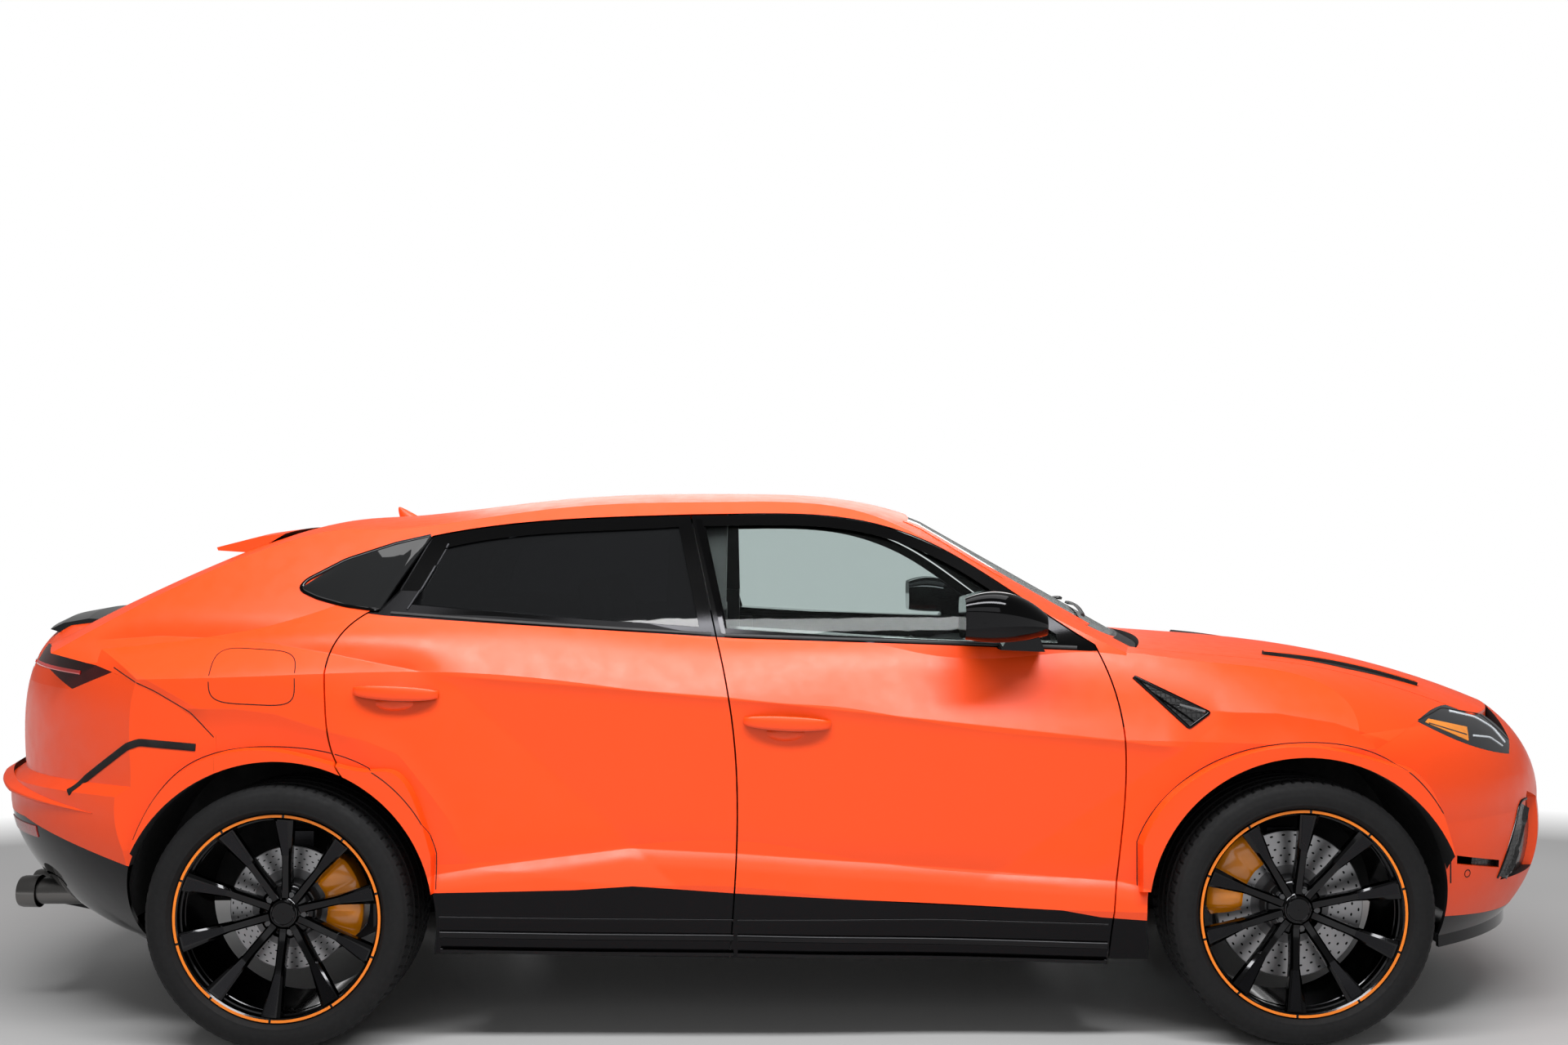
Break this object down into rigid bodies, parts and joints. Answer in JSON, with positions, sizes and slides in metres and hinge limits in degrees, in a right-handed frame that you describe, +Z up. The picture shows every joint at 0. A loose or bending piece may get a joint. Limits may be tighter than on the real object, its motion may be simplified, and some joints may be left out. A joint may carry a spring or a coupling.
{
  "type": "coupe suv",
  "caption": "Five-door coupe SUV with opening doors, hood and tailgate, steered front wheels and free-turning road wheels",
  "frame": {"origin": "On the ground at the centre of the car's footprint box", "axes": "+X forward along the car, +Y to the car's left, +Z up"},
  "size_m": [5.1094, 2.2326, 1.6514],
  "materials": {
    "body_paint": "satin",
    "gloss_black": "gloss",
    "black_trim": "matte",
    "underbody": "matte",
    "lamp_lens": "gloss",
    "tail_lens": "gloss",
    "clear_glass": "gloss",
    "dark_glass": "gloss",
    "chassis_steel": "satin",
    "engine_metal": "satin",
    "exhaust_metal": "satin",
    "interior_trim": "matte",
    "steering_leather": "satin",
    "seat_leather": "satin",
    "caliper_paint": "gloss",
    "tyre_rubber": "matte",
    "rim_black": "gloss",
    "disc_iron": "satin"
  },
  "bodies": {
    "chassis": {"arch_liners": "black_trim", "body_shell": "body_paint", "cowl_panel": "black_trim", "dashboard": "interior_trim", "engine_block": "engine_metal", "exhaust": "exhaust_metal", "fender_left": "body_paint", "fender_right": "body_paint", "floor_pan": "underbody", "front_axle": "chassis_steel", "front_bumper": "body_paint", "front_grille": "black_trim", "front_splitter": "gloss_black", "headlamps": "lamp_lens", "quarter_glass": "dark_glass", "rear_axle": "chassis_steel", "rear_bumper": "body_paint", "rear_calipers": "caliper_paint", "rear_seat": "seat_leather", "rear_valance": "gloss_black", "seat_left": "seat_leather", "seat_right": "seat_leather", "tail_lamps": "tail_lens", "windscreen": "clear_glass"},
    "hood_body": {"hood": "body_paint"},
    "tailgate_body": {"tailgate": "body_paint", "tailgate_glass": "dark_glass", "light_bar": "tail_lens", "roof_spoiler": "body_paint", "tail_spoiler": "gloss_black"},
    "steering_wheel_body": {"steering_wheel": "steering_leather"},
    "door_front_left_body": {"door_front_left": "body_paint", "glass_front_left": "clear_glass", "mirror_left": "gloss_black"},
    "door_rear_left_body": {"door_rear_left": "body_paint", "glass_rear_left": "dark_glass"},
    "knuckle_left_body": {"knuckle_left": "chassis_steel", "caliper_front_left": "caliper_paint"},
    "wheel_front_left_body": {"tyre_front_left": "tyre_rubber", "rim_front_left": "rim_black", "disc_front_left": "disc_iron"},
    "wheel_rear_left_body": {"tyre_rear_left": "tyre_rubber", "rim_rear_left": "rim_black", "disc_rear_left": "disc_iron"},
    "door_front_right_body": {"door_front_right": "body_paint", "glass_front_right": "clear_glass", "mirror_right": "gloss_black"},
    "door_rear_right_body": {"door_rear_right": "body_paint", "glass_rear_right": "dark_glass"},
    "knuckle_right_body": {"knuckle_right": "chassis_steel", "caliper_front_right": "caliper_paint"},
    "wheel_front_right_body": {"tyre_front_right": "tyre_rubber", "rim_front_right": "rim_black", "disc_front_right": "disc_iron"},
    "wheel_rear_right_body": {"tyre_rear_right": "tyre_rubber", "rim_rear_right": "rim_black", "disc_rear_right": "disc_iron"}
  },
  "joints": [
    {"name": "hood_hinge", "type": "hinge", "parent": "chassis", "child": "hood_body", "pos_m": [1.11, 0, 1.182], "axis": [0, -1, 0], "range_deg": [0, 50]},
    {"name": "tailgate_hinge", "type": "hinge", "parent": "chassis", "child": "tailgate_body", "pos_m": [-1.568, 0, 1.534], "axis": [0, 1, 0], "range_deg": [0, 68]},
    {"name": "door_front_left_hinge", "type": "hinge", "parent": "chassis", "child": "door_front_left_body", "pos_m": [1.025, 0.978, 0.8], "axis": [0, 0, -1], "range_deg": [0, 65]},
    {"name": "door_rear_left_hinge", "type": "hinge", "parent": "chassis", "child": "door_rear_left_body", "pos_m": [-0.114, 0.982, 0.8], "axis": [0, 0, -1], "range_deg": [0, 65]},
    {"name": "door_front_right_hinge", "type": "hinge", "parent": "chassis", "child": "door_front_right_body", "pos_m": [1.025, -0.978, 0.8], "axis": [0, 0, 1], "range_deg": [0, 65]},
    {"name": "door_rear_right_hinge", "type": "hinge", "parent": "chassis", "child": "door_rear_right_body", "pos_m": [-0.114, -0.982, 0.8], "axis": [0, 0, 1], "range_deg": [0, 65]},
    {"name": "steer_left", "type": "hinge", "parent": "chassis", "child": "knuckle_left_body", "pos_m": [1.546, 0.79, 0.39], "axis": [0, 0, 1], "range_deg": [-32, 32]},
    {"name": "steer_right", "type": "hinge", "parent": "chassis", "child": "knuckle_right_body", "pos_m": [1.546, -0.79, 0.39], "axis": [0, 0, 1], "range_deg": [-32, 32]},
    {"name": "steering_wheel_turn", "type": "hinge", "parent": "chassis", "child": "steering_wheel_body", "pos_m": [0.43, 0.38, 0.96], "axis": [0.9063, 0, -0.4226], "range_deg": [-480, 480]},
    {"name": "wheel_front_left_spin", "type": "hinge", "parent": "knuckle_left_body", "child": "wheel_front_left_body", "pos_m": [1.546, 0.847, 0.39], "axis": [0, 1, 0], "continuous": true},
    {"name": "wheel_rear_left_spin", "type": "hinge", "parent": "chassis", "child": "wheel_rear_left_body", "pos_m": [-1.457, 0.838, 0.39], "axis": [0, 1, 0], "continuous": true},
    {"name": "wheel_front_right_spin", "type": "hinge", "parent": "knuckle_right_body", "child": "wheel_front_right_body", "pos_m": [1.546, -0.847, 0.39], "axis": [0, 1, 0], "continuous": true},
    {"name": "wheel_rear_right_spin", "type": "hinge", "parent": "chassis", "child": "wheel_rear_right_body", "pos_m": [-1.457, -0.838, 0.39], "axis": [0, 1, 0], "continuous": true}
  ],
  "couplings": [
    {"joint": "steer_right", "follows": "steer_left", "ratio": 1},
    {"joint": "steering_wheel_turn", "follows": "steer_left", "ratio": -15}
  ]
}
